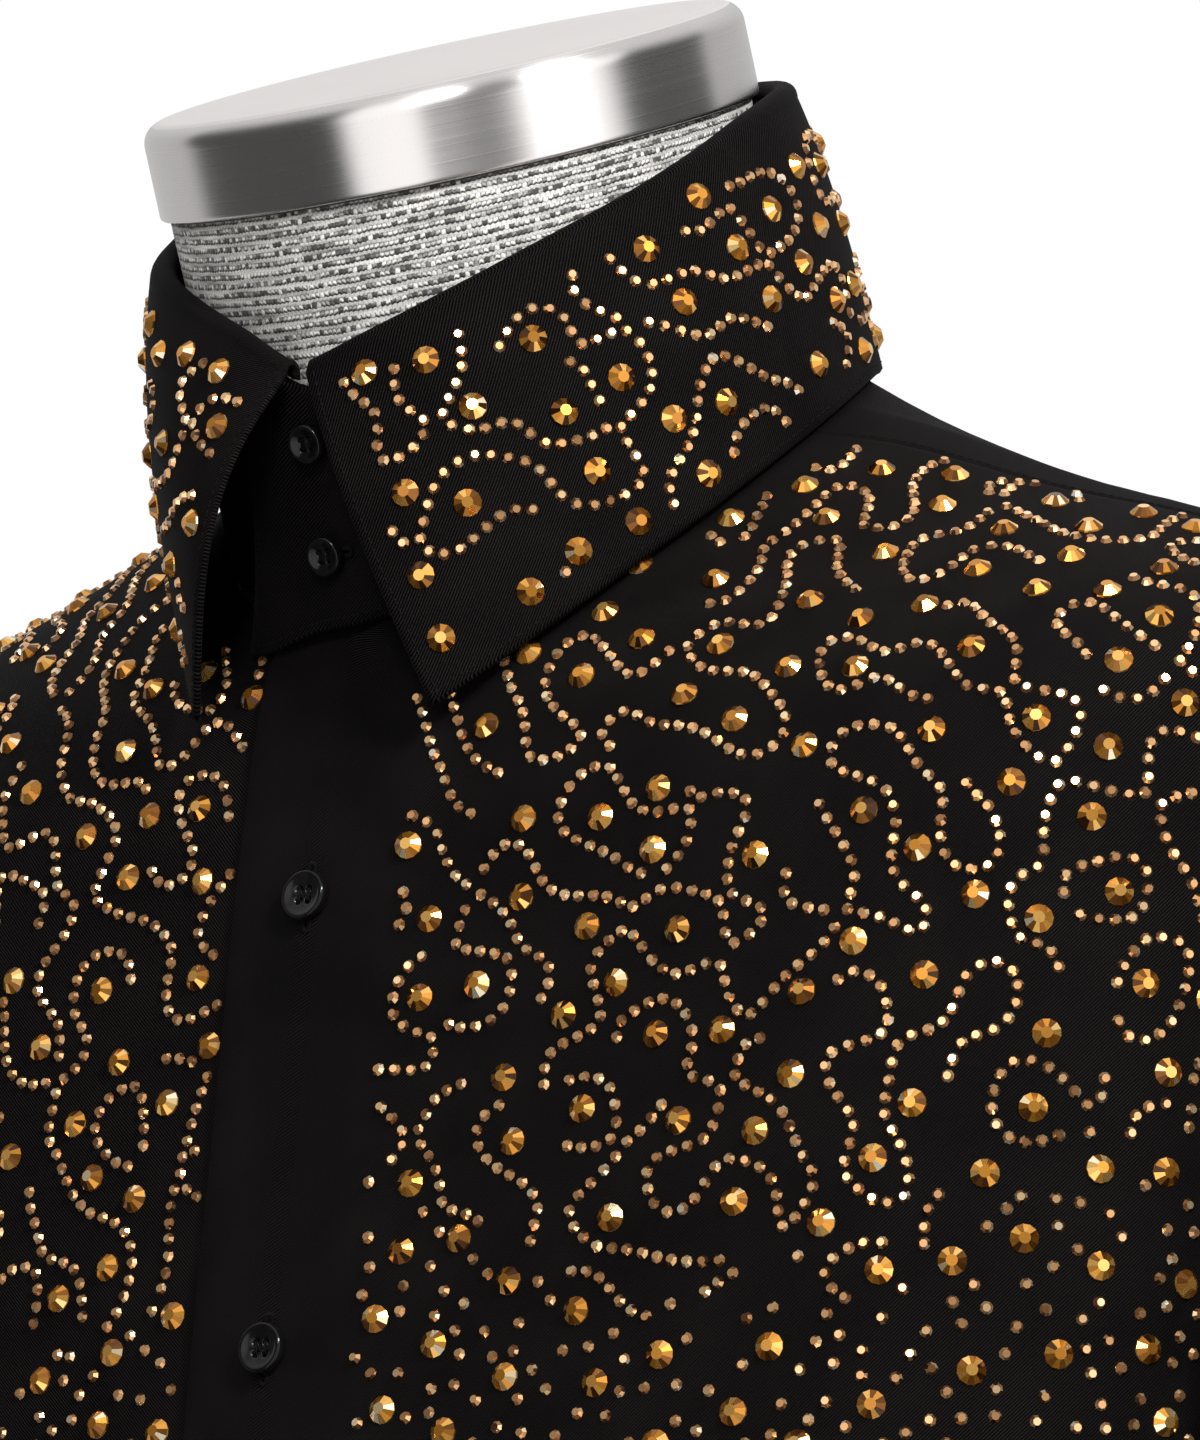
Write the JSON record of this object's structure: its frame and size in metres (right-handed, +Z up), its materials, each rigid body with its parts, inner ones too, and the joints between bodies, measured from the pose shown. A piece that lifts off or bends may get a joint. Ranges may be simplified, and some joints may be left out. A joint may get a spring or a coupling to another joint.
{
  "type": "dress shirt on dress form",
  "caption": "Long-sleeved dress shirt with a high two-button folded collar, worn by a limbless dress form with a metal neck cap on a pole and round base.",
  "frame": {"origin": "middle of the underside of the round base, on the surface that it stands on", "axes": "+Z up, -Y towards the buttoned front, +X towards the wearer's left"},
  "size_m": [0.5428, 0.32, 1.0856],
  "materials": {
    "shirt_cloth": "fine diagonal twill with a slight sheen, small stones on the fronts and collar",
    "button": "glossy",
    "form_cover": "matt woven melange",
    "brushed_steel": "brushed round its axis",
    "base_paint": "satin black"
  },
  "bodies": {
    "root": {"front_left": "shirt_cloth", "front_right": "shirt_cloth", "back": "shirt_cloth", "yoke": "shirt_cloth", "collar_stand": "shirt_cloth", "collar_leaf": "shirt_cloth", "sleeve_left": "shirt_cloth", "sleeve_right": "shirt_cloth", "sleeve_placket_left": "shirt_cloth", "sleeve_placket_right": "shirt_cloth", "cuff_left": "shirt_cloth", "cuff_right": "shirt_cloth", "button_front_1": "button", "button_front_2": "button", "button_front_3": "button", "button_front_4": "button", "button_front_5": "button", "button_front_6": "button", "button_collar_1": "button", "button_collar_2": "button", "button_cuff_left": "button", "button_cuff_right": "button", "form_body": "form_cover", "neck_cap": "brushed_steel", "pole": "brushed_steel", "base": "base_paint"}
  },
  "joints": []
}
